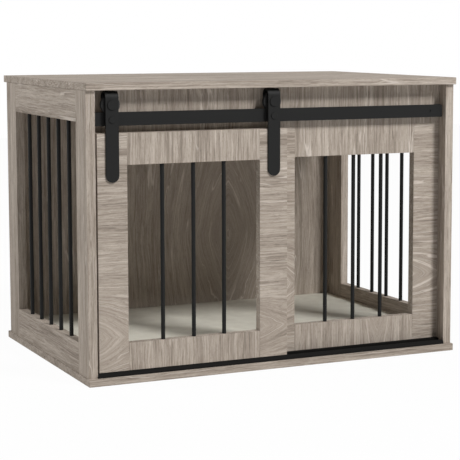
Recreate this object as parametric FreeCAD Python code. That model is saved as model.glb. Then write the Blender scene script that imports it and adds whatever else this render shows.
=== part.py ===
import FreeCAD, Part
import math
import os

# Furniture-style pet crate with barred windows and a front door that hangs from a flat rail.
# Millimetres. +X is to the right seen from the front, +Y runs to the back, +Z is up.
# The origin is at the middle of the crate's footprint, on the ground.

Vec = FreeCAD.Vector
X_AXIS = Vec(1, 0, 0)
Y_AXIS = Vec(0, 1, 0)
Z_AXIS = Vec(0, 0, 1)

# Overall size and the two large boards
overall_width = 1000.0
overall_depth = 673.0
overall_height = 712.0
slab_thickness = 18.0
slab_ease = 1.2
side_overhang = 2.5
front_overhang = 10.0
back_overhang = 18.0

# Framed panels
frame_thickness = 22.5
frame_ease = 0.4
side_front_stile_width = 73.0
side_back_stile_width = 81.0
side_top_rail_height = 75.0
side_bottom_rail_height = 75.0
front_stile_width = 74.0
door_overlap = 36.5
front_top_rail_height = 75.0
front_bottom_rail_height = 66.0
front_recess = 33.0
header_height = 100.0
door_side_gap = 4.0

# Round bars in the windows
bar_diameter = 10.0
bar_seat_depth = 12.0
bar_end_gap = 0.2
bar_clearance = 0.1
side_bar_count = 5
side_bar_pitch = 80.0
front_bar_count = 3
front_bar_pitch = 80.0

# Back and floor
back_panel_thickness = 12.0
back_panel_inset = 6.0
floor_thickness = 12.0
floor_gap = 0.5
batten_width = 22.0
batten_height = 24.0

# Bottom track under the door and the fixed panel
track_height = 12.0
track_wall = 2.0
track_groove_width = 20.0
track_toe = 3.0
track_lip_gap = 1.0
track_screw_count = 5
track_screw_radius = 2.0
track_screw_length = 14.0
track_screw_head_radius = 4.0
track_screw_head_height = 1.5

# Flat rail that the door hangs from
rail_height = 32.0
rail_thickness = 5.0
rail_left_gap = 2.0
rail_right_gap = 5.0
rail_above_door = 16.5
rail_corner_radius = 4.0
rail_screw_inset = 36.0
rail_screw_radius = 3.0
rail_screw_head_radius = 5.5
rail_screw_head_depth = 2.5
rail_screw_bite = 16.0
rail_socket_radius = 2.4
rail_socket_depth = 2.0
standoff_radius = 7.0

# Hangers: a strap bent over a grooved roller
strap_width = 32.0
strap_thickness = 4.0
strap_drop = 115.0
strap_crown_gap = 4.0
roller_tread_radius = 17.0
roller_flange_radius = 23.0
roller_flange_thickness = 2.0
roller_groove_clearance = 0.5
roller_groove_draft = 0.6
roller_boss_height = 6.5
roller_side_gap = 0.5
roller_running_gap = 0.3
roller_recess_radius = 14.0
roller_recess_depth = 1.2
roller_hub_radius = 8.0
axle_radius = 4.0
axle_clearance = 0.05
axle_head_radius = 12.0
axle_head_height = 2.5
axle_head_ease = 0.8
axle_nut_across_flats = 13.0
axle_nut_height = 4.0
rivet_below_axle = 34.6
rivet_radius = 3.0
rivet_head_radius = 8.5
rivet_head_height = 2.0
hanger_screw_radius = 2.5
hanger_screw_head_radius = 4.5
hanger_screw_bite = 3.0
hanger_screw_pitch = 45.0
hanger_screw_rise = 28.0

# Guide shoes under the door
shoe_length = 40.0
shoe_side_gap = 0.5
shoe_drop = 8.0
shoe_ease = 1.0
shoe_peg_radius = 4.0
shoe_peg_length = 12.0

# Dowels, cam fittings and screws
dowel_radius = 4.0
dowel_length = 40.0
dowel_spacing = 36.0
dowel_ease = 0.6
dowel_end_gap = 0.3
wall_dowel_bite = 14.0
header_dowel_spacing = 40.0
wall_dowel_count = 3
cam_radius = 7.5
cam_depth = 13.0
cam_drop = 34.0
cam_bolt_radius = 3.0
cam_bolt_bite = 11.0
cam_bolt_clearance = 0.1
cam_slot_width = 2.0
cam_slot_depth = 1.5
cam_share = 0.25
base_screw_radius = 3.0
base_screw_length = 50.0
base_screw_head_radius = 5.0
base_screw_head_depth = 4.0
back_screw_rows = 5
back_screw_radius = 1.75
back_screw_length = 30.0
back_screw_head_radius = 4.0
back_screw_head_height = 2.0
back_screw_margin = 60.0

cut_overrun = 1.0

# Places worked out from the sizes above
half_width = overall_width / 2
half_depth = overall_depth / 2
base_top = slab_thickness
roof = overall_height - slab_thickness
outer_x = half_width - side_overhang
inner_x = outer_x - frame_thickness
wall_x = outer_x - frame_thickness / 2
front_y = -half_depth + front_overhang
back_y = half_depth - back_overhang
side_window_front = front_y + side_front_stile_width
side_window_back = back_y - side_back_stile_width
side_window_bottom = base_top + side_bottom_rail_height
side_window_top = roof - side_top_rail_height
fixed_front = front_y + front_recess
fixed_back = fixed_front + frame_thickness
fixed_y = fixed_front + frame_thickness / 2
panel_bottom = base_top + track_height
panel_top = roof - header_height
panel_width = (2 * inner_x - door_side_gap + door_overlap) / 2
front_window_width = panel_width - 2 * front_stile_width
door_left = -inner_x + door_side_gap
door_back = front_y + frame_thickness
door_y = front_y + frame_thickness / 2
fixed_left = inner_x - panel_width
front_window_bottom = panel_bottom + front_bottom_rail_height
front_window_top = panel_top - front_top_rail_height
floor_bottom = base_top + batten_height
rail_left = -inner_x + rail_left_gap
rail_right = inner_x - rail_right_gap
rail_bottom = panel_top + rail_above_door
rail_top = rail_bottom + rail_height
rail_z = rail_bottom + rail_height / 2
roller_width = rail_thickness + 2 * (roller_groove_clearance + roller_flange_thickness)
fork_gap = roller_width + 2 * (roller_boss_height + roller_side_gap)
strap_front = front_y - strap_thickness
fork_back = front_y + fork_gap
strap_back = fork_back + strap_thickness
rail_y = front_y + fork_gap / 2
rail_front = rail_y - rail_thickness / 2
rail_back = rail_y + rail_thickness / 2
axle_z = rail_top + roller_tread_radius + roller_running_gap
roller_in_bend = math.sqrt((fork_gap / 2) ** 2 - (roller_width / 2) ** 2)
bend_z = axle_z + roller_flange_radius + strap_crown_gap - roller_in_bend
cam_hole_radius = cam_bolt_radius + cam_bolt_clearance
hanger_places = (door_left + front_stile_width / 2, door_left + panel_width - front_stile_width / 2)
rail_screw_places = (rail_left + rail_screw_inset, rail_right - rail_screw_inset)


def box(low, high):
    """A plain block from its lowest corner to its highest."""
    size = Vec(*high) - Vec(*low)
    return Part.makeBox(size.x, size.y, size.z, Vec(*low))


def board(low, high, ease):
    """A sawn board whose edges are all eased by a narrow chamfer."""
    solid = box(low, high)
    return solid.makeChamfer(ease, solid.Edges)


def rod(start, direction, radius, length):
    """A round rod from a point, along an axis."""
    return Part.makeCylinder(radius, length, Vec(*start), direction)


def pin(start, direction, radius, length, ease):
    """A round pin with both ends chamfered."""
    solid = rod(start, direction, radius, length)
    rims = [edge for edge in solid.Edges if len(edge.Vertexes) == 1]
    return solid.makeChamfer(ease, rims)


def hole(start, direction, radius, depth):
    """A drilling that starts a little outside the surface it enters."""
    back = Vec(*start) - direction * cut_overrun
    return Part.makeCylinder(radius, depth + cut_overrun, back, direction)


def drilled(solid, holes):
    """A piece with its drillings taken out."""
    return solid.cut(holes) if holes else solid


def spread(count, pitch, centre):
    """Evenly pitched places about a centre."""
    return [centre + (index - (count - 1) / 2) * pitch for index in range(count)]


def turned(profile, centre, axis_point_y):
    """A solid turned about an axis along +Y; the profile is a list of (radius, y) points."""
    points = [Vec(centre[0] + radius, axis_point_y + y, centre[1]) for radius, y in profile]
    face = Part.Face(Part.makePolygon(points + points[:1]))
    full_turn = 360
    return face.revolve(Vec(centre[0], 0, centre[1]), Y_AXIS, full_turn)


def group(solids):
    """Several separate solids in one piece."""
    return Part.makeCompound(solids)


def dowel_pair(centre_z, spacing):
    """Heights of the two dowels in one joint."""
    return (centre_z - spacing / 2, centre_z + spacing / 2)


# Top, base, back and floor


def cam_places():
    """Where a cam fitting ties each side panel's top rail to the top board."""
    run = side_window_back - side_window_front
    shares = (cam_share, 1 - cam_share)
    return [(side, side_window_front + share * run) for side in (-1, 1) for share in shares]


def base_screw_places():
    """Screws up through the base: one in each side stile and one in each bottom rail."""
    rows = (
        front_y + side_front_stile_width / 2,
        (side_window_front + side_window_back) / 2,
        back_y - side_back_stile_width / 2,
    )
    return [(side * wall_x, y) for side in (-1, 1) for y in rows]


def track_screw_places():
    """Screws along the bottom track's groove."""
    pitch = 2 * inner_x / track_screw_count
    return spread(track_screw_count, pitch, 0)


def track_groove_y():
    return front_y + track_wall + track_groove_width / 2


def top_board():
    slab = board((-half_width, -half_depth, roof), (half_width, half_depth, overall_height), slab_ease)
    holes = [
        hole((side * wall_x, y, roof), Z_AXIS, cam_hole_radius, cam_bolt_bite + dowel_end_gap)
        for side, y in cam_places()
    ]
    return drilled(slab, holes)


def base_board():
    slab = board((-half_width, -half_depth, 0), (half_width, half_depth, base_top), slab_ease)
    holes = []
    for x, y in base_screw_places():
        holes.append(hole((x, y, 0), Z_AXIS, base_screw_radius, slab_thickness + cut_overrun))
        holes.append(hole((x, y, 0), Z_AXIS, base_screw_head_radius, base_screw_head_depth))
    bite = track_screw_length - track_wall + dowel_end_gap
    for x in track_screw_places():
        holes.append(hole((x, track_groove_y(), base_top), -Z_AXIS, track_screw_radius, bite))
    return drilled(slab, holes)


def back_screw_heights():
    run = roof - base_top - 2 * back_screw_margin
    return spread(back_screw_rows, run / (back_screw_rows - 1), (base_top + roof) / 2)


def back_panel():
    x = outer_x - back_panel_inset
    panel = board((-x, back_y, base_top), (x, back_y + back_panel_thickness, roof), frame_ease)
    holes = [
        hole((side * wall_x, back_y, z), Y_AXIS, back_screw_radius, back_panel_thickness + cut_overrun)
        for side in (-1, 1)
        for z in back_screw_heights()
    ]
    return drilled(panel, holes)


def floor_panel():
    x = inner_x - floor_gap
    low = (-x, fixed_back + floor_gap, floor_bottom)
    return board(low, (x, back_y - floor_gap, floor_bottom + floor_thickness), frame_ease)


def floor_battens():
    starts = (fixed_back, (fixed_back + back_y - batten_width) / 2, back_y - batten_width)
    return group(
        [
            board((-inner_x, y, base_top), (inner_x, y + batten_width, floor_bottom), frame_ease)
            for y in starts
        ]
    )


# Side panels


def side_bar_places():
    return spread(side_bar_count, side_bar_pitch, (side_window_front + side_window_back) / 2)


def bar_holes(places, entry_z, direction):
    """Blind seats for a row of bars, in one rail."""
    radius = bar_diameter / 2 + bar_clearance
    return [hole((x, y, entry_z), direction, radius, bar_seat_depth) for x, y in places]


def upright_bar(x, y, bottom, top):
    """A round bar that ends inside the seats of the rails below and above it."""
    reach = bar_seat_depth - bar_end_gap
    return rod((x, y, bottom - reach), Z_AXIS, bar_diameter / 2, top - bottom + 2 * reach)


def side_dowel_joints(side):
    """Start points of the dowels between one side panel's rails and stiles, with the stile's edge."""
    joints = []
    for rail_low, rail_high in ((base_top, side_window_bottom), (side_window_top, roof)):
        for z in dowel_pair((rail_low + rail_high) / 2, dowel_spacing):
            for edge_y in (side_window_front, side_window_back):
                joints.append((side * wall_x, edge_y, z))
    return joints


def half_dowel_holes(points, direction):
    """Half of each dowel's hole, drilled from the joint face."""
    depth = dowel_length / 2 + dowel_end_gap
    return [hole(point, direction, dowel_radius, depth) for point in points]


def side_stile(side, at_front):
    x_low, x_high = sorted((side * inner_x, side * outer_x))
    y_low, y_high = (front_y, side_window_front) if at_front else (side_window_back, back_y)
    stile = board((x_low, y_low, base_top), (x_high, y_high, roof), frame_ease)
    edge_y = side_window_front if at_front else side_window_back
    inward = -Y_AXIS if at_front else Y_AXIS
    points = [point for point in side_dowel_joints(side) if point[1] == edge_y]
    holes = half_dowel_holes(points, inward)
    for x, y in base_screw_places():
        if x * side > 0 and y_low < y < y_high:
            holes.append(base_screw_hole(x, y))
    if at_front:
        holes += wall_dowel_holes(side)
    else:
        holes += [
            hole((side * wall_x, back_y, z), -Y_AXIS, back_screw_radius, back_screw_bite())
            for z in back_screw_heights()
        ]
    return drilled(stile, holes)


def base_screw_hole(x, y):
    depth = base_screw_length - slab_thickness + dowel_end_gap
    return hole((x, y, base_top), Z_AXIS, base_screw_radius, depth)


def back_screw_bite():
    return back_screw_length - back_panel_thickness + dowel_end_gap


def side_rail(side, at_top):
    x_low, x_high = sorted((side * inner_x, side * outer_x))
    z_low, z_high = (side_window_top, roof) if at_top else (base_top, side_window_bottom)
    rail = board((x_low, side_window_front, z_low), (x_high, side_window_back, z_high), frame_ease)
    points = [point for point in side_dowel_joints(side) if z_low < point[2] < z_high]
    holes = half_dowel_holes([p for p in points if p[1] == side_window_front], Y_AXIS)
    holes += half_dowel_holes([p for p in points if p[1] == side_window_back], -Y_AXIS)
    seats = [(side * wall_x, y) for y in side_bar_places()]
    if at_top:
        holes += bar_holes(seats, side_window_top, Z_AXIS)
        for cam_side, y in cam_places():
            if cam_side == side:
                holes.append(cam_pocket(side, y))
                holes.append(hole((side * wall_x, y, roof), -Z_AXIS, cam_hole_radius, cam_drop))
    else:
        holes += bar_holes(seats, side_window_bottom, -Z_AXIS)
        holes += [
            base_screw_hole(x, y)
            for x, y in base_screw_places()
            if x * side > 0 and side_window_front < y < side_window_back
        ]
    return drilled(rail, holes)


def cam_pocket(side, y):
    return hole((side * inner_x, y, roof - cam_drop), X_AXIS * side, cam_radius, cam_depth)


# Front header and fixed panel


def header_dowel_heights():
    return dowel_pair((panel_top + roof) / 2, header_dowel_spacing)


def fixed_wall_dowel_heights():
    pitch = (panel_top - panel_bottom) / (wall_dowel_count + 1)
    return spread(wall_dowel_count, pitch, (panel_bottom + panel_top) / 2)


def wall_dowel_holes(side):
    """Holes in a front stile for the header, and on the right for the fixed panel too."""
    heights = list(header_dowel_heights())
    if side > 0:
        heights += fixed_wall_dowel_heights()
    depth = wall_dowel_bite + dowel_end_gap
    return [hole((side * inner_x, fixed_y, z), X_AXIS * side, dowel_radius, depth) for z in heights]


def panel_end_depth():
    return dowel_length - wall_dowel_bite + dowel_end_gap


def hanging_dowel_places():
    """Dowels between the fixed panel's stiles and the header above them."""
    return (fixed_left + front_stile_width / 2, inner_x - front_stile_width / 2)


def front_header():
    header = board((-inner_x, fixed_front, panel_top), (inner_x, fixed_back, roof), frame_ease)
    holes = [
        hole((side * inner_x, fixed_y, z), -X_AXIS * side, dowel_radius, panel_end_depth())
        for side in (-1, 1)
        for z in header_dowel_heights()
    ]
    holes += [
        hole((x, fixed_y, panel_top), Z_AXIS, dowel_radius, wall_dowel_bite + dowel_end_gap)
        for x in hanging_dowel_places()
    ]
    bite = rail_screw_bite + dowel_end_gap
    holes += [hole((x, fixed_front, rail_z), Y_AXIS, rail_screw_radius, bite) for x in rail_screw_places]
    return drilled(header, holes)


def front_joint_heights():
    """Dowel heights in the bottom and the top rail of the door and of the fixed panel."""
    low = dowel_pair((panel_bottom + front_window_bottom) / 2, dowel_spacing)
    high = dowel_pair((front_window_top + panel_top) / 2, dowel_spacing)
    return low + high


def front_stile(left_x, front, joint_on_right):
    """A stile of the door or the fixed panel, drilled for its rails' dowels."""
    y = front + frame_thickness / 2
    low = (left_x, front, panel_bottom)
    stile = board(low, (left_x + front_stile_width, front + frame_thickness, panel_top), frame_ease)
    joint_x = left_x + front_stile_width if joint_on_right else left_x
    inward = -X_AXIS if joint_on_right else X_AXIS
    points = [(joint_x, y, z) for z in front_joint_heights()]
    return drilled(stile, half_dowel_holes(points, inward))


def front_rail(left_x, front, at_top):
    """A rail of the door or the fixed panel, with dowel holes in its ends and seats for the bars."""
    y = front + frame_thickness / 2
    right_x = left_x + front_window_width
    z_low, z_high = (front_window_top, panel_top) if at_top else (panel_bottom, front_window_bottom)
    rail = board((left_x, front, z_low), (right_x, front + frame_thickness, z_high), frame_ease)
    heights = [z for z in front_joint_heights() if z_low < z < z_high]
    holes = half_dowel_holes([(left_x, y, z) for z in heights], X_AXIS)
    holes += half_dowel_holes([(right_x, y, z) for z in heights], -X_AXIS)
    seats = [(x, y) for x in front_bar_places(left_x)]
    entry, direction = (front_window_top, Z_AXIS) if at_top else (front_window_bottom, -Z_AXIS)
    return drilled(rail, holes + bar_holes(seats, entry, direction))


def front_bar_places(window_left):
    return spread(front_bar_count, front_bar_pitch, window_left + front_window_width / 2)


def fixed_stile(on_right):
    left_x = inner_x - front_stile_width if on_right else fixed_left
    stile = front_stile(left_x, fixed_front, not on_right)
    hang_x = hanging_dowel_places()[1 if on_right else 0]
    holes = [hole((hang_x, fixed_y, panel_top), -Z_AXIS, dowel_radius, panel_end_depth())]
    if on_right:
        holes += [
            hole((inner_x, fixed_y, z), -X_AXIS, dowel_radius, panel_end_depth())
            for z in fixed_wall_dowel_heights()
        ]
    return drilled(stile, holes)


# Door, guide shoes and hangers


def hanger_screw_heights():
    start = axle_z - strap_reach() + hanger_screw_rise
    return (start, start + hanger_screw_pitch)


def strap_reach():
    """From the roller's axle down to the strap's foot on the door."""
    return axle_z - panel_top + strap_drop


def door_stile(on_right):
    left_x = door_left + panel_width - front_stile_width if on_right else door_left
    stile = front_stile(left_x, front_y, not on_right)
    centre_x = left_x + front_stile_width / 2
    peg_depth = shoe_peg_length + dowel_end_gap
    holes = [hole((centre_x, door_y, panel_bottom), Z_AXIS, shoe_peg_radius, peg_depth)]
    for z in hanger_screw_heights():
        through = frame_thickness + cut_overrun
        holes.append(hole((centre_x, door_back, z), -Y_AXIS, hanger_screw_radius, through))
        holes.append(screw_cone((centre_x, door_back, z), cut_overrun))
    return drilled(stile, holes)


def screw_cone(centre, overrun):
    """A countersunk head whose face is flush with the back of the door, or its seat if it overruns."""
    x, y, z = centre
    head_depth = hanger_screw_head_radius - hanger_screw_radius
    wide = hanger_screw_head_radius + overrun
    length = head_depth + overrun
    tip = Vec(x, y - head_depth, z)
    return Part.makeCone(hanger_screw_radius, wide, length, tip, Y_AXIS)


def hanger_screws():
    solids = []
    for x in hanger_places:
        for z in hanger_screw_heights():
            length = frame_thickness + hanger_screw_bite
            shank = rod((x, door_back, z), -Y_AXIS, hanger_screw_radius, length)
            solids.append(shank.fuse(screw_cone((x, door_back, z), 0)))
    return group(solids)


def door_guides():
    """Two guide shoes that run in the bottom track's groove, each with a peg up into its stile."""
    half = (track_groove_width - 2 * shoe_side_gap) / 2
    solids = []
    for x in hanger_places:
        low = (x - shoe_length / 2, track_groove_y() - half, panel_bottom - shoe_drop)
        high = (x + shoe_length / 2, track_groove_y() + half, panel_bottom)
        shoe = board(low, high, shoe_ease)
        peg_root = panel_bottom - shoe_drop / 2
        peg = rod((x, door_y, peg_root), Z_AXIS, shoe_peg_radius, shoe_peg_length + shoe_drop / 2)
        solids.append(shoe.fuse(peg).removeSplitter())
    return group(solids)


def hanger(x):
    """A flat strap with a round foot, bent over the roller and down behind it to carry the axle."""
    foot = axle_z - strap_reach()
    radius = strap_width / 2
    left, right = x - radius, x + radius
    low_z = foot + radius
    past_left, past_right = left - cut_overrun, right + cut_overrun
    past_foot = foot - cut_overrun
    strap = arched_block(left, right, strap_front, strap_back, foot)
    strap = strap.cut(arched_block(past_left, past_right, front_y, fork_back, past_foot))
    below_back = box((past_left, front_y, past_foot), (past_right, strap_back + cut_overrun, axle_z))
    keep_back = rod((x, front_y, axle_z), Y_AXIS, radius, strap_back - front_y + cut_overrun)
    strap = strap.cut(below_back.cut(keep_back))
    before = strap_front - cut_overrun
    trim_low = box((past_left, before, past_foot), (past_right, front_y, low_z))
    keep_low = rod((x, before, low_z), Y_AXIS, radius, strap_thickness + 2 * cut_overrun)
    strap = strap.cut(trim_low.cut(keep_low))
    holes = [hole((x, strap_front, axle_z), Y_AXIS, axle_radius, strap_back - strap_front + cut_overrun)]
    rivet_z = axle_z - rivet_below_axle
    holes.append(hole((x, strap_front, rivet_z), Y_AXIS, rivet_radius, strap_thickness + cut_overrun))
    for z in hanger_screw_heights():
        holes.append(hole((x, front_y, z), -Y_AXIS, hanger_screw_radius, hanger_screw_bite))
    return strap.cut(holes)


def arched_block(left, right, front, back, bottom):
    """A block with a half-round top, as high as the straps' bend."""
    radius = (back - front) / 2
    block = box((left, front, bottom), (right, back, bend_z))
    return block.fuse(rod((left, front + radius, bend_z), X_AXIS, radius, right - left)).removeSplitter()


def roller(x):
    """A grooved wheel: two flanges, a tread between them, dished faces, and a bored hub that stands proud."""
    half = roller_width / 2
    hub_end = half + roller_boss_height
    groove = rail_thickness / 2 + roller_groove_clearance
    dish = half - roller_recess_depth
    profile = [
        (axle_radius + axle_clearance, -hub_end),
        (roller_hub_radius, -hub_end),
        (roller_hub_radius, -dish),
        (roller_recess_radius, -dish),
        (roller_recess_radius, -half),
        (roller_flange_radius, -half),
        (roller_flange_radius, -groove - roller_groove_draft),
        (roller_tread_radius, -groove),
        (roller_tread_radius, groove),
        (roller_flange_radius, groove + roller_groove_draft),
        (roller_flange_radius, half),
        (roller_recess_radius, half),
        (roller_recess_radius, dish),
        (roller_hub_radius, dish),
        (roller_hub_radius, hub_end),
        (axle_radius + axle_clearance, hub_end),
    ]
    return turned(profile, (x, axle_z), rail_y)


def axle_bolt(x):
    """A bolt with a broad low head on the strap's face; its shank is the roller's axle."""
    shank_end = strap_back + axle_nut_height
    profile = [
        (0, strap_front - axle_head_height),
        (axle_head_radius - axle_head_ease, strap_front - axle_head_height),
        (axle_head_radius, strap_front - axle_head_height + axle_head_ease),
        (axle_head_radius, strap_front),
        (axle_radius, strap_front),
        (axle_radius, shank_end),
        (0, shank_end),
    ]
    return turned(profile, (x, axle_z), 0)


def axle_nuts():
    corner = axle_nut_across_flats / math.sqrt(3)
    solids = []
    for x in hanger_places:
        points = []
        for index in range(6):
            angle = index * math.pi / 3
            across, up = corner * math.cos(angle), corner * math.sin(angle)
            points.append(Vec(x + across, strap_back, axle_z + up))
        nut = Part.Face(Part.makePolygon(points + points[:1])).extrude(Y_AXIS * axle_nut_height)
        bore = hole((x, strap_back, axle_z), Y_AXIS, axle_radius, axle_nut_height + cut_overrun)
        solids.append(nut.cut(bore))
    return group(solids)


def hanger_rivets():
    """The smaller round heads under the axle bolts, set into the straps."""
    z = axle_z - rivet_below_axle
    ease = rivet_head_height / 3
    profile = [
        (0, strap_front - rivet_head_height),
        (rivet_head_radius - ease, strap_front - rivet_head_height),
        (rivet_head_radius, strap_front - rivet_head_height + ease),
        (rivet_head_radius, strap_front),
        (rivet_radius, strap_front),
        (rivet_radius, front_y),
        (0, front_y),
    ]
    return group([turned(profile, (x, z), 0) for x in hanger_places])


# Rail and bottom track


def track_rail():
    """The flat rail, with rounded corners and two countersunk holes."""
    rail = box((rail_left, rail_front, rail_bottom), (rail_right, rail_back, rail_top))
    corners = [e for e in rail.Edges if math.isclose(e.Length, rail_thickness)]
    rail = rail.makeFillet(rail_corner_radius, corners)
    holes = []
    for x in rail_screw_places:
        holes.append(hole((x, rail_front, rail_z), Y_AXIS, rail_screw_radius, rail_thickness + cut_overrun))
        holes.append(rail_screw_cone(x))
    return rail.cut(holes)


def rail_screw_cone(x):
    return Part.makeCone(
        rail_screw_head_radius, rail_screw_radius, rail_screw_head_depth, Vec(x, rail_front, rail_z), Y_AXIS
    )


def track_screws():
    """Flat-head screws through the rail and its standoffs into the header."""
    length = fixed_front + rail_screw_bite - rail_front
    solids = []
    for x in rail_screw_places:
        screw = rod((x, rail_front, rail_z), Y_AXIS, rail_screw_radius, length).fuse(rail_screw_cone(x))
        socket = hole((x, rail_front, rail_z), Y_AXIS, rail_socket_radius, rail_socket_depth)
        solids.append(screw.cut(socket))
    return group(solids)


def track_standoffs():
    solids = []
    for x in rail_screw_places:
        sleeve = rod((x, rail_back, rail_z), Y_AXIS, standoff_radius, fixed_front - rail_back)
        bore = hole((x, rail_back, rail_z), Y_AXIS, rail_screw_radius, fixed_front - rail_back + cut_overrun)
        solids.append(sleeve.cut(bore))
    return group(solids)


def bottom_track():
    """An extruded threshold: a groove for the guide shoes and, behind it, a hollow shelf."""
    lip_top = panel_bottom - track_lip_gap
    floor = base_top + track_wall
    groove_front = front_y + track_wall
    groove_back = groove_front + track_groove_width
    outline = [
        (front_y - track_toe, base_top),
        (fixed_back, base_top),
        (fixed_back, panel_bottom),
        (groove_back + track_wall, panel_bottom),
        (groove_back + track_wall, lip_top),
        (groove_back, lip_top),
        (groove_back, floor),
        (groove_front, floor),
        (groove_front, lip_top),
        (front_y, lip_top),
        (front_y - track_toe, floor),
    ]
    points = [Vec(-inner_x, y, z) for y, z in outline]
    profile = Part.Face(Part.makePolygon(points + points[:1])).extrude(X_AXIS * 2 * inner_x)
    hollow_low = (-inner_x - cut_overrun, groove_back + 2 * track_wall, floor)
    hollow = box(hollow_low, (inner_x + cut_overrun, fixed_back - track_wall, panel_bottom - track_wall))
    holes = [
        hole((x, track_groove_y(), floor), -Z_AXIS, track_screw_radius, track_wall + cut_overrun)
        for x in track_screw_places()
    ]
    return profile.cut([hollow] + holes)


def bottom_track_screws():
    floor = base_top + track_wall
    solids = []
    for x in track_screw_places():
        head = rod((x, track_groove_y(), floor), Z_AXIS, track_screw_head_radius, track_screw_head_height)
        shank = rod((x, track_groove_y(), floor), -Z_AXIS, track_screw_radius, track_screw_length)
        solids.append(head.fuse(shank))
    return group(solids)


# Dowels, cam fittings and screws


def carcass_dowels():
    """Dowels of the side frames, of the fixed panel's frame, and those that tie header and panel in."""
    half = dowel_length / 2
    solids = []
    for side in (-1, 1):
        for x, y, z in side_dowel_joints(side):
            solids.append(pin((x, y - half, z), Y_AXIS, dowel_radius, dowel_length, dowel_ease))
    solids += frame_dowels(fixed_left, fixed_y)
    tail = dowel_length - wall_dowel_bite
    for side in (-1, 1):
        heights = list(header_dowel_heights())
        if side > 0:
            heights += fixed_wall_dowel_heights()
        for z in heights:
            start = (side * (inner_x - tail), fixed_y, z)
            solids.append(pin(start, X_AXIS * side, dowel_radius, dowel_length, dowel_ease))
    for x in hanging_dowel_places():
        start = (x, fixed_y, panel_top - tail)
        solids.append(pin(start, Z_AXIS, dowel_radius, dowel_length, dowel_ease))
    return group(solids)


def frame_dowels(panel_left, y):
    """Dowels between the rails and stiles of the door or the fixed panel."""
    window_left = panel_left + front_stile_width
    solids = []
    for joint_x in (window_left, window_left + front_window_width):
        for z in front_joint_heights():
            start = (joint_x - dowel_length / 2, y, z)
            solids.append(pin(start, X_AXIS, dowel_radius, dowel_length, dowel_ease))
    return solids


def cam_shank(side, y):
    """A cam bolt's shank, from inside the top board down to the cam."""
    length = cam_bolt_bite + cam_drop
    return rod((side * wall_x, y, roof - cam_drop), Z_AXIS, cam_bolt_radius, length)


def cam_bolts():
    return group([cam_shank(side, y) for side, y in cam_places()])


def cam_locks():
    """Slotted discs in the side panels' inner faces, which grip the cam bolts."""
    solids = []
    for side, y in cam_places():
        z = roof - cam_drop
        disc = rod((side * inner_x, y, z), X_AXIS * side, cam_radius, cam_depth)
        mouth = rod((side * wall_x, y, z), Z_AXIS, cam_hole_radius, cam_radius + cut_overrun)
        x_low, x_high = sorted((side * (inner_x - cut_overrun), side * (inner_x + cam_slot_depth)))
        half_slot = cam_slot_width / 2
        slot = box((x_low, y - cam_radius, z - half_slot), (x_high, y + cam_radius, z + half_slot))
        solids.append(disc.cut([mouth, slot]))
    return group(solids)


def base_screws():
    solids = []
    for x, y in base_screw_places():
        head = rod((x, y, 0), Z_AXIS, base_screw_head_radius, base_screw_head_depth)
        solids.append(head.fuse(rod((x, y, 0), Z_AXIS, base_screw_radius, base_screw_length)))
    return group(solids)


def back_panel_screws():
    face = back_y + back_panel_thickness
    solids = []
    for side in (-1, 1):
        for z in back_screw_heights():
            x = side * wall_x
            head = rod((x, face, z), Y_AXIS, back_screw_head_radius, back_screw_head_height)
            solids.append(head.fuse(rod((x, face, z), -Y_AXIS, back_screw_radius, back_screw_length)))
    return group(solids)


def crate_pieces():
    """Every piece of the crate by name."""
    pieces = {
        "top_board": top_board(),
        "base_board": base_board(),
        "back_panel": back_panel(),
        "floor_panel": floor_panel(),
        "floor_battens": floor_battens(),
        "front_header": front_header(),
        "track_rail": track_rail(),
        "track_screws": track_screws(),
        "track_standoffs": track_standoffs(),
        "bottom_track": bottom_track(),
        "bottom_track_screws": bottom_track_screws(),
        "carcass_dowels": carcass_dowels(),
        "door_dowels": group(frame_dowels(door_left, door_y)),
        "cam_bolts": cam_bolts(),
        "cam_locks": cam_locks(),
        "base_screws": base_screws(),
        "back_panel_screws": back_panel_screws(),
        "hanger_screws": hanger_screws(),
        "hanger_rivets": hanger_rivets(),
        "axle_nuts": axle_nuts(),
        "door_guides": door_guides(),
    }
    for name, side in (("left", -1), ("right", 1)):
        pieces[f"{name}_front_stile"] = side_stile(side, True)
        pieces[f"{name}_back_stile"] = side_stile(side, False)
        pieces[f"{name}_top_rail"] = side_rail(side, True)
        pieces[f"{name}_bottom_rail"] = side_rail(side, False)
        for number, y in enumerate(side_bar_places(), 1):
            bar = upright_bar(side * wall_x, y, side_window_bottom, side_window_top)
            pieces[f"{name}_bar_{number}"] = bar
    for name, left, front in (("fixed", fixed_left, fixed_front), ("door", door_left, front_y)):
        stile = fixed_stile if name == "fixed" else door_stile
        window_left = left + front_stile_width
        pieces[f"{name}_left_stile"] = stile(False)
        pieces[f"{name}_right_stile"] = stile(True)
        pieces[f"{name}_top_rail"] = front_rail(window_left, front, True)
        pieces[f"{name}_bottom_rail"] = front_rail(window_left, front, False)
        for number, x in enumerate(front_bar_places(window_left), 1):
            y = front + frame_thickness / 2
            pieces[f"{name}_bar_{number}"] = upright_bar(x, y, front_window_bottom, front_window_top)
    for name, x in zip(("left", "right"), hanger_places):
        pieces[f"{name}_hanger"] = hanger(x)
        pieces[f"{name}_roller"] = roller(x)
        pieces[f"{name}_axle_bolt"] = axle_bolt(x)
    return pieces


def main():
    os.makedirs("parts", exist_ok=True)
    for name, shape in crate_pieces().items():
        shape.exportStep(f"parts/{name}.step")


main()
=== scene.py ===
import math

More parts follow.
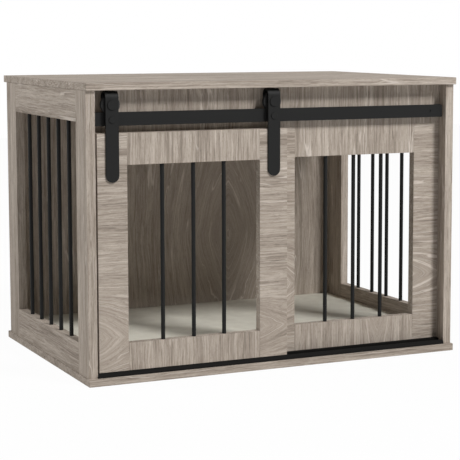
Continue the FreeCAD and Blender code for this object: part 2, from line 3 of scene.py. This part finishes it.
import bpy
import numpy as np
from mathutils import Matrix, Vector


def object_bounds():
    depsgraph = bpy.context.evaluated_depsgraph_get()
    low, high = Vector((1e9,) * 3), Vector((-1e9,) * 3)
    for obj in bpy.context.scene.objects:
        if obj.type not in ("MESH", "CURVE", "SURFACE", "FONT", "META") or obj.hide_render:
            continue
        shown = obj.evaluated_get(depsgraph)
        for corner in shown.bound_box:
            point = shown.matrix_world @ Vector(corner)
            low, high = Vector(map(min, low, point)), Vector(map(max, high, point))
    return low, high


bl_info = {
    "name": "Pet crate finishes",
    "version": (1, 0, 0),
    "blender": (4, 5, 0),
    "location": "View3D > Sidebar > Pet crate",
    "description": "Grey oak, black metal and floor finishes for a pet crate, and its studio stage",
    "category": "Object",
}

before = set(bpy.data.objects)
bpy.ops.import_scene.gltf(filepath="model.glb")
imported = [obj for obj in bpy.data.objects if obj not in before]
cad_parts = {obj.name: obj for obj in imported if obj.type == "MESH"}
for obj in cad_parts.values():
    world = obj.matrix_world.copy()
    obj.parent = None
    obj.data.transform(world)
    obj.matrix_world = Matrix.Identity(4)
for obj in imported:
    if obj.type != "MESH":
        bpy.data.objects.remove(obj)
cad_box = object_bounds()

MM = 0.001
SENSOR_WIDTH_MM = 36
GROUND_POINTS = 9

# A noise keeps about its middle, and most of it lies between these levels
NOISE_LOW, NOISE_MIDDLE, NOISE_HIGH = 0.3, 0.5, 0.7
NOISE_ROUGHNESS = 0.55

# Boards by the direction that their grain runs in
GRAIN = {
    "X": ("top_board", "base_board", "floor_battens", "door_left_stile", "door_right_stile")
    + ("fixed_left_stile", "fixed_right_stile"),
    "Y": ("left_top_rail", "right_bottom_rail", "right_top_rail", "left_bottom_rail"),
    "Z": ("left_front_stile", "left_back_stile", "right_front_stile", "right_back_stile", "front_header")
    + ("door_top_rail", "door_bottom_rail", "fixed_top_rail", "fixed_bottom_rail", "back_panel"),
}
# Turns that bring each board's grain onto the pattern's own X
GRAIN_TURN = {"X": (0, 0, 0), "Y": (0, 0, -math.pi / 2), "Z": (0, math.pi / 2, 0)}
# Boards cut from one sheet share its pattern
ONE_SHEET = {"fixed_top_rail": "front_header"}
# How far each seed moves the pattern on
SEED_STEP = (1.7, 5.3, 3.1)
# Seeds between a board's layers, so that no two of them line up
LAYER_STEP = {"bands": 0, "streaks": 3, "fibres": 7, "pores": 11, "silver": 17, "patches": 19}

# Where the tree's heart comes up to a board's face, in millimetres: its place along and across the grain in
# the board's pattern, how far it reaches along the grain, and how deep it runs beyond that
HEARTS = {
    "door_left_stile": (-474, 112, 84, 66),
    "door_right_stile": (-64, 108, 96, 50),
    "fixed_left_stile": (0, 204, 80, 70),
    "fixed_right_stile": (396, 203, 72, 42),
    "fixed_bottom_rail": (102, -296, 70, 26),
    "back_panel": (250, -150, 420, 160),
    "top_board": (620, -90, 520, 110),
}
# The wide face of a board shows the pattern's Y or Z
ACROSS_Y, ACROSS_Z = 1, 2
ACROSS = {"top_board": ACROSS_Y}
# Growth lines round a heart are straight chevrons at 1 and round ovals at 2
POINTED = 1.3
HEART_SIZE = 26 * MM
# Reach of a heart across the grain, in depths
HEART_WIDTH = 1.3
# Share of the grain's contrast that a heart takes away, and the level by which it brings up silver lines
HEART_CALM, HEART_SILVER = 0.6, 0.12

# Shares of the bands, growth lines and fibres in a board's tone, and the tone from the middle to the palest
BAND_SHARE, STREAK_SHARE, FIBRE_SHARE = 0.26, 0.42, 0.32
TONE_SPREAD = 0.125
# Noise levels at which a pore starts and is full, and how much of its colour it then shows
PORE_START, PORE_FULL, PORE_SHARE = 0.6, 0.72, 0.5
# A silver line follows its noise's middle level: half its plain width and its soft edge, as noise levels
SILVER_CORE, SILVER_EDGE = 0.006, 0.022
# Noise levels at which silver lines come up and are full, and how much of their colour they then show
SILVER_START, SILVER_FULL, SILVER_SHARE = 0.5, 0.6, 0.68


def linear(hex_colour):
    """An sRGB hex colour as linear red, green and blue."""
    levels = np.array([int(hex_colour[i : i + 2], 16) for i in (1, 3, 5)]) / 255
    low, high = levels / 12.92, ((levels + 0.055) / 1.055) ** 2.4
    return tuple(np.where(levels <= 0.04045, low, high).tolist())


def colour_property(name, hex_colour, words):
    """A colour that a user can change, with its default given as sRGB hex."""
    return bpy.props.FloatVectorProperty(
        name=name, description=words, default=linear(hex_colour), size=3, min=0, max=1, subtype="COLOR"
    )


def length_property(name, millimetres, words):
    """A length that a user can change, with its default given in millimetres."""
    return bpy.props.FloatProperty(
        name=name, description=words, default=millimetres * MM, min=0, unit="LENGTH"
    )


def place_property(name, metres, words):
    """A place that a user can change."""
    return bpy.props.FloatVectorProperty(
        name=name, description=words, default=metres, size=3, subtype="TRANSLATION", unit="LENGTH"
    )


def power_property(name, watts, words):
    """A lamp's power that a user can change."""
    return bpy.props.FloatProperty(name=name, description=words, default=watts, min=0, unit="POWER")


def angle_property(name, radians, words):
    """An angle that a user can change."""
    return bpy.props.FloatProperty(
        name=name, description=words, default=radians, subtype="ANGLE", unit="ROTATION"
    )


class CrateOak(bpy.types.PropertyGroup):
    """Colours and grain sizes of the grey oak laminate."""

    pale: colour_property("Pale grain", "#c6bbaf", "Lightest early wood")
    middle: colour_property("Middle grain", "#ab9f93", "Ground colour of the boards")
    dark: colour_property("Dark grain", "#857a6f", "Late wood lines")
    pore: colour_property("Pores", "#6f655c", "Short open pores along the grain")
    silver: colour_property("Silver lines", "#d9cfc5", "Thin pale lines along the growth rings")
    band_width: length_property("Band width", 26, "Width of the broad tone bands across the grain")
    band_length: length_property("Band length", 620, "Length of the broad tone bands along the grain")
    streak_width: length_property("Streak width", 4, "Width of the growth lines across the grain")
    streak_length: length_property("Streak length", 170, "Length of the growth lines along the grain")
    fibre_width: length_property("Fibre width", 1.6, "Width of the fine fibres")
    fibre_length: length_property("Fibre length", 46, "Length of the fine fibres")
    pore_width: length_property("Pore width", 0.7, "Width of a pore")
    pore_length: length_property("Pore length", 9, "Length of a pore")
    silver_width: length_property("Silver spacing", 16, "Spacing of the thin pale lines across the grain")
    silver_length: length_property("Silver length", 380, "Length of the thin pale lines along the grain")
    sway: length_property("Sway", 14, "Range of the growth lines' wander across the grain")
    sway_width: length_property("Sway width", 50, "Width over which growth lines wander together")
    sway_length: length_property("Sway length", 160, "Length of a wander along the grain")
    relief: length_property("Relief", 0.12, "Depth of the embossed grain")


class CrateFittings(bpy.types.PropertyGroup):
    """Colours and grain sizes of the metal, nylon and beech pieces."""

    powder: colour_property("Powder coat", "#121212", "Black powder coat on bars, rail and straps")
    # Painted glints: a slightly lighter colour painted on the powder coat's grains, standing in for points of
    # light
    painted_powder_glint: colour_property("Powder grains", "#181817", "Grains of the powder coat that catch light")
    grit: length_property("Powder grit", 0.9, "Grain of the powder coat, drawn coarse enough to show")
    grit_relief: length_property("Powder relief", 0.05, "Height of the powder coat's grain")
    track: colour_property("Threshold", "#151413", "Black anodised threshold")
    track_line_width: length_property("Line width", 0.8, "Drawn lines, coarse enough to show")
    track_line_length: length_property("Line length", 180, "Length of the threshold's drawn lines")
    nylon: colour_property("Nylon", "#181818", "Rollers and guide shoes")
    mottle: length_property("Mottle", 3, "Size of the mottling on moulded nylon")
    zinc: colour_property("Zinc", "#b9bcbc", "Zinc plated screws")
    spangle: length_property("Spangle", 1.5, "Size of the crystals in the zinc")
    beech: colour_property("Beech", "#c9a97c", "Dowels")
    beech_fleck: colour_property("Beech flecks", "#a98657", "Darker flecks in the beech")
    fleck: length_property("Fleck size", 1.2, "Size of the flecks in the beech")


class CrateFloor(bpy.types.PropertyGroup):
    """Colours and grain sizes of the laminated floor panel."""

    ground: colour_property("Floor ground", "#e3e0d3", "Pale grey laminate")
    cloud: colour_property("Floor clouds", "#d6d2c5", "Slightly darker clouding")
    cloud_size: length_property("Cloud size", 38, "Size of the clouding")
    tooth: length_property("Tooth", 1.5, "Grain of the laminate's face, drawn coarse enough to show")
    tooth_relief: length_property("Tooth relief", 0.04, "Height of the grain on the laminate's face")


class CrateStage(bpy.types.PropertyGroup):
    """Lights, ground and camera."""

    ground: colour_property("Ground", "#efefef", "Plain pale studio floor")
    ground_size: length_property("Ground size", 16000, "Side of the studio floor")
    ground_white: bpy.props.FloatProperty(
        name="Ground white",
        description="Share of the studio floor's look that is plain white, where the rest shows the shadow",
        default=0.97,
        min=0,
        max=1,
        subtype="FACTOR",
    )
    sky: colour_property("Studio light", "#ffffff", "Colour of the even light")
    sky_level: bpy.props.FloatProperty(
        name="Even light", description="Level of the even light", default=0.07, min=0
    )
    key_power: power_property("Key power", 890, "Power of the key lamp")
    key_size: length_property("Key size", 2280, "Side of the key lamp")
    key_place: place_property("Key place", (3.84, -7.28, 6.82), "Where the key lamp hangs")
    fill_power: power_property("Fill power", 510, "Power of the fill lamp")
    fill_size: length_property("Fill size", 5000, "Side of the fill lamp")
    fill_place: place_property("Fill place", (-8.50, 3.44, 5.87), "Where the fill lamp hangs")
    camera_place: place_property("Camera", (-1.65714, -3.71997, 0.8322), "Where the camera stands")
    turn: angle_property("Turn", 0.446596, "Camera's turn to the right")
    dip: angle_property("Dip", 0.108221, "Camera's tilt downwards")
    lens: bpy.props.FloatProperty(
        name="Lens", description="Focal length on a 36 mm frame", default=121.1, unit="CAMERA"
    )
    shift: bpy.props.FloatVectorProperty(
        name="Shift",
        description="Offset of the photograph's framing, in frame widths",
        default=(-0.08247, -0.06884),
        size=2,
    )


GROUPS = {
    "crate_oak": CrateOak,
    "crate_fittings": CrateFittings,
    "crate_floor": CrateFloor,
    "crate_stage": CrateStage,
}


def add(tree, kind, inputs=None, **settings):
    """A node with its settings; an input that is a socket is linked, and any other value is set."""
    made = tree.nodes.new(kind)
    for key, value in settings.items():
        setattr(made, key, value)
    for key, value in (inputs or {}).items():
        if isinstance(value, bpy.types.NodeSocket):
            tree.links.new(value, made.inputs[key])
        else:
            made.inputs[key].default_value = value
    return made


def new_material(name):
    """An empty material with its shader and output in place, and the piece's own coordinates."""
    material = bpy.data.materials.new(name)
    material.use_nodes = True
    tree = material.node_tree
    tree.nodes.clear()
    shader = add(tree, "ShaderNodeBsdfPrincipled")
    add(tree, "ShaderNodeOutputMaterial", {"Surface": shader.outputs[0]})
    return material, tree, shader, add(tree, "ShaderNodeTexCoord").outputs["Object"]


def opaque(colour):
    """A colour with full alpha, as sockets want it."""
    return (*colour, 1)


def dress(node_name, material):
    """Gives a piece of the crate its finish."""
    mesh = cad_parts[node_name].data
    mesh.materials.clear()
    mesh.materials.append(material)


def drawn_noise(tree, vector, seed, length, width, detail, roughness=NOISE_ROUGHNESS):
    """Noise drawn out along x: about a length from crest to crest that way, and a width the other ways."""
    drawn = {
        "Vector": vector,
        "Scale": (1 / length, 1 / width, 1 / width),
        "Location": tuple(seed * step for step in SEED_STEP),
    }
    pattern = add(tree, "ShaderNodeMapping", drawn).outputs[0]
    noise = {"Vector": pattern, "Scale": 1, "Detail": detail, "Roughness": roughness}
    return add(tree, "ShaderNodeTexNoise", noise).outputs["Fac"]


def heart_rings(tree, along, across, heart):
    """The growth ring that a place lies on, as a distance across the grain, and how near it is to the heart.

    With away and beside as the distances from the heart along and across the grain, p as POINTED and
    bell(x) = exp(-x^2): near = bell(away / reach) * bell(beside / (HEART_WIDTH * depth)),
    sunk = (1 - bell(away / reach))^(p / 2) * bell(beside / (HEART_WIDTH * depth)) and
    ring = (|beside|^p + HEART_SIZE^p + sunk * depth^p)^(1 / p).
    """
    middle_along, middle_across, reach, depth = (millimetres * MM for millimetres in heart)

    def bell(distance, size):
        share = add(tree, "ShaderNodeMath", {0: distance, 1: size}, operation="DIVIDE").outputs[0]
        square = add(tree, "ShaderNodeMath", {0: share, 1: share}, operation="MULTIPLY").outputs[0]
        return add(tree, "ShaderNodeMath", {0: math.exp(-1), 1: square}, operation="POWER").outputs[0]

    away = add(tree, "ShaderNodeMath", {0: along, 1: middle_along}, operation="SUBTRACT").outputs[0]
    beside = add(tree, "ShaderNodeMath", {0: across, 1: middle_across}, operation="SUBTRACT").outputs[0]
    long, wide = bell(away, reach), bell(beside, HEART_WIDTH * depth)
    near = add(tree, "ShaderNodeMath", {0: long, 1: wide}, operation="MULTIPLY").outputs[0]
    rising = add(tree, "ShaderNodeMath", {0: 1, 1: long}, operation="SUBTRACT").outputs[0]
    sunk = add(tree, "ShaderNodeMath", {0: rising, 1: POINTED / 2}, operation="POWER").outputs[0]
    sunk = add(tree, "ShaderNodeMath", {0: sunk, 1: wide}, operation="MULTIPLY").outputs[0]
    deep, least = depth**POINTED, HEART_SIZE**POINTED
    below = add(tree, "ShaderNodeMath", {0: sunk, 1: deep, 2: least}, operation="MULTIPLY_ADD").outputs[0]
    beside = add(tree, "ShaderNodeMath", {0: beside}, operation="ABSOLUTE").outputs[0]
    beside = add(tree, "ShaderNodeMath", {0: beside, 1: POINTED}, operation="POWER").outputs[0]
    total = add(tree, "ShaderNodeMath", {0: beside, 1: below}, operation="ADD").outputs[0]
    return add(tree, "ShaderNodeMath", {0: total, 1: 1 / POINTED}, operation="POWER").outputs[0], near


def growth_lines(tree, place, name, grain, seed, oak):
    """A board's pattern space, with x along its growth lines, and how near a place is to its heart, or None.

    The lines wander across the grain by a slow noise. Where a heart comes up, the distance across the grain
    gives way to the ring that the place lies on.
    """
    turned = add(tree, "ShaderNodeMapping", {"Vector": place, "Rotation": GRAIN_TURN[grain]}).outputs[0]
    axes, near = list(add(tree, "ShaderNodeSeparateXYZ", {0: turned}).outputs), None
    if name in HEARTS:
        across = ACROSS.get(name, ACROSS_Z)
        axes[across], near = heart_rings(tree, axes[0], axes[across], HEARTS[name])
    sway = drawn_noise(tree, turned, seed, oak.sway_length, oak.sway_width, 4)
    sway = add(tree, "ShaderNodeMath", {0: sway, 1: NOISE_MIDDLE}, operation="SUBTRACT").outputs[0]
    sway = add(tree, "ShaderNodeMath", {0: sway, 1: oak.sway}, operation="MULTIPLY").outputs[0]
    for across in (ACROSS_Y, ACROSS_Z):
        axes[across] = add(tree, "ShaderNodeMath", {0: axes[across], 1: sway}, operation="ADD").outputs[0]
    return add(tree, "ShaderNodeCombineXYZ", dict(enumerate(axes))).outputs[0], near


def grey_oak_laminate(name, grain, seed, oak):
    """Grey washed oak print on board, embossed along the grain.

    The eye sees pale and dark growth lines a few millimetres wide in broad soft bands, short dark pores and
    thin silver lines. Where the tree's heart comes up to the face, the lines close round it in ovals.
    """
    material, tree, shader, place = new_material(f"grey_oak_laminate_{name}")
    lines, near = growth_lines(tree, place, name, grain, seed, oak)

    def layer(kind, length, width, detail):
        return drawn_noise(tree, lines, seed + LAYER_STEP[kind], length, width, detail)

    bands = layer("bands", oak.band_length, oak.band_width, 2)
    streaks = layer("streaks", oak.streak_length, oak.streak_width, 3)
    fibres = layer("fibres", oak.fibre_length, oak.fibre_width, 2)
    pores = layer("pores", oak.pore_length, oak.pore_width, 1)
    silver = layer("silver", oak.silver_length, oak.silver_width, 0)
    patches = layer("patches", oak.streak_length, oak.band_width, 1)

    # The tone, which is calmer round a heart, picks the wood's colour
    tone = add(tree, "ShaderNodeMath", {0: bands, 1: BAND_SHARE}, operation="MULTIPLY").outputs[0]
    for part, share in ((streaks, STREAK_SHARE), (fibres, FIBRE_SHARE)):
        tone = add(tree, "ShaderNodeMath", {0: part, 1: share, 2: tone}, operation="MULTIPLY_ADD").outputs[0]
    if near:
        calm = add(tree, "ShaderNodeMath", {0: near, 1: HEART_CALM}, operation="MULTIPLY").outputs[0]
        tone = add(tree, "ShaderNodeMix", {0: calm, 2: tone, 3: NOISE_MIDDLE}, data_type="FLOAT").outputs[0]
    ramp = add(tree, "ShaderNodeValToRGB", {0: tone})
    stops = ramp.color_ramp.elements
    stops.new(NOISE_MIDDLE)
    for stop, side, colour in zip(stops, (-1, 0, 1), (oak.dark, oak.middle, oak.pale)):
        stop.position = NOISE_MIDDLE + side * TONE_SPREAD
        stop.color = opaque(colour)

    pore = {"Value": pores, "From Min": PORE_START, "From Max": PORE_FULL, "To Max": PORE_SHARE}
    dark_pores = add(tree, "ShaderNodeMapRange", pore).outputs[0]
    pored = {0: dark_pores, 6: ramp.outputs[0], 7: opaque(oak.pore)}
    colour = add(tree, "ShaderNodeMix", pored, data_type="RGBA").outputs[2]

    # Silver lines run along the middle level of their noise, in patches and near a heart
    off_line = add(tree, "ShaderNodeMath", {0: silver, 1: NOISE_MIDDLE}, operation="SUBTRACT").outputs[0]
    off_line = add(tree, "ShaderNodeMath", {0: off_line}, operation="ABSOLUTE").outputs[0]
    line = {"Value": off_line, "From Min": SILVER_CORE, "From Max": SILVER_EDGE, "To Min": 1, "To Max": 0}
    crest = add(tree, "ShaderNodeMapRange", line).outputs[0]
    if near:
        more = {0: near, 1: HEART_SILVER, 2: patches}
        patches = add(tree, "ShaderNodeMath", more, operation="MULTIPLY_ADD").outputs[0]
    patch = {"Value": patches, "From Min": SILVER_START, "From Max": SILVER_FULL, "To Max": SILVER_SHARE}
    shown = add(tree, "ShaderNodeMapRange", patch).outputs[0]
    shown = add(tree, "ShaderNodeMath", {0: shown, 1: crest}, operation="MULTIPLY").outputs[0]
    silvered = {0: shown, 6: colour, 7: opaque(oak.silver)}
    colour = add(tree, "ShaderNodeMix", silvered, data_type="RGBA").outputs[2]
    tree.links.new(colour, shader.inputs["Base Color"])

    sheen = {"Value": tone, "From Min": NOISE_LOW, "From Max": NOISE_HIGH, "To Min": 0.76, "To Max": 0.66}
    tree.links.new(add(tree, "ShaderNodeMapRange", sheen).outputs[0], shader.inputs["Roughness"])
    shader.inputs["Specular IOR Level"].default_value = 0.15
    height = add(tree, "ShaderNodeMath", {0: dark_pores, 1: -1, 2: tone}, operation="MULTIPLY_ADD").outputs[0]
    embossed = {"Height": height, "Distance": oak.relief, "Strength": 0.5}
    tree.links.new(add(tree, "ShaderNodeBump", embossed).outputs[0], shader.inputs["Normal"])
    return material


def powder_coat(fittings):
    """Black powder coat on steel: an even satin black whose fine grains vary in roughness and height, with
    painted glints where the grains are a shade lighter in colour.
    """
    material, tree, shader, place = new_material("black_powder_coat")
    grains = {"Vector": place, "Scale": 1 / fittings.grit, "Detail": 3, "Roughness": 0.6}
    grit = add(tree, "ShaderNodeTexNoise", grains).outputs["Fac"]
    # Painted glints: where the grit noise is high, the base colour turns to the lighter glint colour
    painted_glint_spots = add(tree, "ShaderNodeMapRange", {"Value": grit, "From Min": 0.35, "From Max": 0.75}).outputs[0]
    coat = {0: painted_glint_spots, 6: opaque(fittings.powder), 7: opaque(fittings.painted_powder_glint)}
    tree.links.new(add(tree, "ShaderNodeMix", coat, data_type="RGBA").outputs[2], shader.inputs["Base Color"])
    sheen = {"Value": grit, "From Min": 0.2, "From Max": 0.8, "To Min": 0.55, "To Max": 0.68}
    tree.links.new(add(tree, "ShaderNodeMapRange", sheen).outputs[0], shader.inputs["Roughness"])
    shader.inputs["Specular IOR Level"].default_value = 0.2
    orange_peel = {"Height": grit, "Distance": fittings.grit_relief, "Strength": 0.4}
    tree.links.new(add(tree, "ShaderNodeBump", orange_peel).outputs[0], shader.inputs["Normal"])
    return material


def anodised_threshold(fittings):
    """Black anodised extrusion: fine drawn lines along its length and a soft sheen."""
    material, tree, shader, place = new_material("black_anodised_extrusion")
    length, width = fittings.track_line_length, fittings.track_line_width
    lines = drawn_noise(tree, place, 2, length, width, 2, roughness=0.5)
    sheen = {"Value": lines, "From Min": NOISE_LOW, "From Max": NOISE_HIGH, "To Min": 0.55, "To Max": 0.7}
    tree.links.new(add(tree, "ShaderNodeMapRange", sheen).outputs[0], shader.inputs["Roughness"])
    shader.inputs["Base Color"].default_value = opaque(fittings.track)
    shader.inputs["Specular IOR Level"].default_value = 0.06
    return material


def moulded_nylon(fittings):
    """Black moulded nylon: plain, smooth and slightly waxy, with faint mottling."""
    material, tree, shader, place = new_material("black_moulded_nylon")
    blotches = {"Vector": place, "Scale": 1 / fittings.mottle, "Detail": 2}
    mottle = add(tree, "ShaderNodeTexNoise", blotches).outputs["Fac"]
    sheen = {"Value": mottle, "From Min": NOISE_LOW, "From Max": NOISE_HIGH, "To Min": 0.4, "To Max": 0.52}
    tree.links.new(add(tree, "ShaderNodeMapRange", sheen).outputs[0], shader.inputs["Roughness"])
    shader.inputs["Base Color"].default_value = opaque(fittings.nylon)
    return material


def zinc_plate(fittings):
    """Zinc plated steel: pale metal with a cloudy spangle."""
    material, tree, shader, place = new_material("zinc_plated_steel")
    crystals = {"Vector": place, "Scale": 1 / fittings.spangle}
    spangle = add(tree, "ShaderNodeTexVoronoi", crystals).outputs["Distance"]
    sheen = {"Value": spangle, "To Min": 0.28, "To Max": 0.45}
    tree.links.new(add(tree, "ShaderNodeMapRange", sheen).outputs[0], shader.inputs["Roughness"])
    shader.inputs["Base Color"].default_value = opaque(fittings.zinc)
    shader.inputs["Metallic"].default_value = 1
    return material


def turned_beech(fittings):
    """Bare beech dowel: warm pale wood with fine short flecks."""
    material, tree, shader, place = new_material("turned_beech")
    flecks = {"Vector": place, "Scale": 1 / fittings.fleck, "Detail": 2}
    fleck = add(tree, "ShaderNodeTexNoise", flecks).outputs["Fac"]
    wood = {0: fleck, 6: opaque(fittings.beech), 7: opaque(fittings.beech_fleck)}
    tree.links.new(add(tree, "ShaderNodeMix", wood, data_type="RGBA").outputs[2], shader.inputs["Base Color"])
    shader.inputs["Roughness"].default_value = 0.7
    return material


def floor_laminate(floor):
    """Pale melamine faced board: smooth, matt and almost plain, with slow clouding and a fine tooth."""
    material, tree, shader, place = new_material("pale_melamine_board")
    clouds = {"Vector": place, "Scale": 1 / floor.cloud_size, "Detail": 4, "Roughness": 0.6}
    cloud = add(tree, "ShaderNodeTexNoise", clouds).outputs["Fac"]
    cloud_range = {"Value": cloud, "From Min": NOISE_LOW, "From Max": NOISE_HIGH}
    mask = add(tree, "ShaderNodeMapRange", cloud_range).outputs[0]
    face = {0: mask, 6: opaque(floor.ground), 7: opaque(floor.cloud)}
    tree.links.new(add(tree, "ShaderNodeMix", face, data_type="RGBA").outputs[2], shader.inputs["Base Color"])
    grains = {"Vector": place, "Scale": 1 / floor.tooth, "Detail": 2}
    tooth = add(tree, "ShaderNodeTexNoise", grains).outputs["Fac"]
    raised = {"Height": tooth, "Distance": floor.tooth_relief, "Strength": 0.3}
    tree.links.new(add(tree, "ShaderNodeBump", raised).outputs[0], shader.inputs["Normal"])
    shader.inputs["Roughness"].default_value = 0.6
    shader.inputs["Specular IOR Level"].default_value = 0.3
    return material


class CRATE_OT_boards(bpy.types.Operator):
    """Give every board its grey oak, with the grain the way that board was cut"""

    bl_idname = "crate.boards"
    bl_label = "Grey oak boards"

    def execute(self, context):
        oak = context.scene.crate_oak
        boards = [(name, grain) for grain, names in GRAIN.items() for name in names]
        seeds = {name: number for number, (name, _) in enumerate(boards, 1)}
        for name, grain in boards:
            seed = seeds[ONE_SHEET.get(name, name)]
            dress(name, grey_oak_laminate(name, grain, seed, oak))
        return {"FINISHED"}


class CRATE_OT_ironwork(bpy.types.Operator):
    """Powder coat the bars, the rail and the door's straps, and finish the threshold"""

    bl_idname = "crate.ironwork"
    bl_label = "Black ironwork"

    def execute(self, context):
        fittings = context.scene.crate_fittings
        coat = powder_coat(fittings)
        names = ["track_rail", "track_standoffs", "track_screws", "axle_nuts", "hanger_rivets"]
        for side in ("left", "right"):
            names += [f"{side}_hanger", f"{side}_axle_bolt"]
        names += [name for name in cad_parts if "_bar_" in name]
        for name in names:
            dress(name, coat)
        dress("bottom_track", anodised_threshold(fittings))
        return {"FINISHED"}


class CRATE_OT_rollers(bpy.types.Operator):
    """Finish the nylon rollers and guide shoes"""

    bl_idname = "crate.rollers"
    bl_label = "Rollers and guides"

    def execute(self, context):
        nylon = moulded_nylon(context.scene.crate_fittings)
        for name in ("left_roller", "right_roller", "door_guides"):
            dress(name, nylon)
        return {"FINISHED"}


class CRATE_OT_fastenings(bpy.types.Operator):
    """Finish the screws, cam fittings and dowels"""

    bl_idname = "crate.fastenings"
    bl_label = "Fastenings"

    def execute(self, context):
        fittings = context.scene.crate_fittings
        zinc, beech = zinc_plate(fittings), turned_beech(fittings)
        screws = ("base_screws", "back_panel_screws", "hanger_screws", "bottom_track_screws")
        for name in screws + ("cam_bolts", "cam_locks"):
            dress(name, zinc)
        for name in ("carcass_dowels", "door_dowels"):
            dress(name, beech)
        return {"FINISHED"}


class CRATE_OT_floor(bpy.types.Operator):
    """Finish the pale floor panel"""

    bl_idname = "crate.floor"
    bl_label = "Floor panel"

    def execute(self, context):
        dress("floor_panel", floor_laminate(context.scene.crate_floor))
        return {"FINISHED"}


def lamp(name, power, size, place, target):
    """A square lamp aimed at a point."""
    data = bpy.data.lights.new(name, "AREA")
    data.energy, data.size = power, size
    made = bpy.data.objects.new(name, data)
    towards = np.array(target) - np.array(place)
    flat = math.hypot(towards[0], towards[1])
    made.location = place
    made.rotation_euler = (math.atan2(flat, -towards[2]), 0, math.atan2(-towards[0], towards[1]))
    bpy.context.collection.objects.link(made)


def ground_sheet(stage):
    """The studio floor, z = 0 over u, v from -1 to 1 times half its side."""
    half = stage.ground_size / 2
    u, v = np.meshgrid(*[np.linspace(-1, 1, GROUND_POINTS)] * 2)
    points = np.stack([u * half, v * half, np.zeros_like(u)], axis=-1).reshape(-1, 3)
    index = np.arange(GROUND_POINTS**2).reshape(GROUND_POINTS, GROUND_POINTS)
    corners = [index[:-1, :-1], index[:-1, 1:], index[1:, 1:], index[1:, :-1]]
    quads = np.stack(corners, axis=-1).reshape(-1, 4)
    mesh = bpy.data.meshes.new("studio_floor")
    mesh.from_pydata(points.tolist(), [], quads.tolist())
    made = bpy.data.objects.new("studio_floor", mesh)
    bpy.context.collection.objects.link(made)
    return made


def seen_rays(tree):
    """1 where a ray comes from the camera, a reflection or a transmission, and 0 for light on the crate."""
    path = add(tree, "ShaderNodeLightPath").outputs
    seen = path["Is Camera Ray"]
    for kind in ("Is Glossy Ray", "Is Transmission Ray"):
        seen = add(tree, "ShaderNodeMath", {0: seen, 1: path[kind]}, operation="MAXIMUM").outputs[0]
    return seen


def studio_paper(stage):
    """Matt white paper: it lights the crate as paper does, and reads as white with a faint shadow."""
    material = bpy.data.materials.new("matt_white_paper")
    material.use_nodes = True
    tree = material.node_tree
    tree.nodes.clear()
    paper = add(tree, "ShaderNodeBsdfDiffuse", {"Color": opaque(stage.ground)}).outputs[0]
    white = add(tree, "ShaderNodeEmission", {"Color": (1, 1, 1, 1), "Strength": 1}).outputs[0]
    share = {0: seen_rays(tree), 1: stage.ground_white}
    seen = add(tree, "ShaderNodeMath", share, operation="MULTIPLY").outputs[0]
    surface = add(tree, "ShaderNodeMixShader", {0: seen, 1: paper, 2: white}).outputs[0]
    add(tree, "ShaderNodeOutputMaterial", {"Surface": surface})
    return material


def studio_sky(stage):
    """Even light all round, which the camera sees as white."""
    world = bpy.data.worlds.new("studio_light")
    world.use_nodes = True
    tree = world.node_tree
    tree.nodes.clear()
    light = {"Color": opaque(stage.sky), "Strength": stage.sky_level}
    even = add(tree, "ShaderNodeBackground", light).outputs[0]
    white = add(tree, "ShaderNodeBackground", {"Color": (1, 1, 1, 1), "Strength": 1}).outputs[0]
    mixed = add(tree, "ShaderNodeMixShader", {0: seen_rays(tree), 1: even, 2: white}).outputs[0]
    add(tree, "ShaderNodeOutputWorld", {"Surface": mixed})
    bpy.context.scene.world = world


class CRATE_OT_stage(bpy.types.Operator):
    """Set up the studio floor, the lamps and the camera"""

    bl_idname = "crate.stage"
    bl_label = "Studio stage"

    def execute(self, context):
        stage = context.scene.crate_stage
        ground = ground_sheet(stage)
        ground.data.materials.append(studio_paper(stage))
        studio_sky(stage)
        middle = tuple((np.array(cad_box[0]) + np.array(cad_box[1])) / 2)
        lamp("key_lamp", stage.key_power, stage.key_size, stage.key_place, middle)
        lamp("fill_lamp", stage.fill_power, stage.fill_size, stage.fill_place, middle)
        data = bpy.data.cameras.new("camera")
        data.lens, data.sensor_width = stage.lens, SENSOR_WIDTH_MM
        data.shift_x, data.shift_y = stage.shift
        camera = bpy.data.objects.new("camera", data)
        camera.location = stage.camera_place
        camera.rotation_euler = (math.pi / 2 - stage.dip, 0, -stage.turn)
        context.collection.objects.link(camera)
        context.scene.camera = camera
        context.scene.view_settings.view_transform = "Standard"
        return {"FINISHED"}


OPERATORS = (
    CRATE_OT_boards,
    CRATE_OT_ironwork,
    CRATE_OT_rollers,
    CRATE_OT_fastenings,
    CRATE_OT_floor,
    CRATE_OT_stage,
)


class CRATE_PT_panel(bpy.types.Panel):
    """Finishes and stage of the pet crate"""

    bl_idname = "CRATE_PT_panel"
    bl_label = "Pet crate"
    bl_space_type = "VIEW_3D"
    bl_region_type = "UI"
    bl_category = "Pet crate"

    def draw(self, context):
        for operator in OPERATORS:
            self.layout.operator(operator.bl_idname)
        for name, group in GROUPS.items():
            box = self.layout.box()
            for key in group.__annotations__:
                box.prop(getattr(context.scene, name), key)


def register():
    for name, group in GROUPS.items():
        bpy.utils.register_class(group)
        setattr(bpy.types.Scene, name, bpy.props.PointerProperty(type=group))
    for made in OPERATORS + (CRATE_PT_panel,):
        bpy.utils.register_class(made)


def unregister():
    for made in (CRATE_PT_panel,) + OPERATORS[::-1]:
        bpy.utils.unregister_class(made)
    for name, group in reversed(GROUPS.items()):
        delattr(bpy.types.Scene, name)
        bpy.utils.unregister_class(group)


def main():
    register()
    bpy.ops.crate.boards()
    bpy.ops.crate.ironwork()
    bpy.ops.crate.rollers()
    bpy.ops.crate.fastenings()
    bpy.ops.crate.floor()
    bpy.ops.crate.stage()


if __name__ == "__main__":
    main()
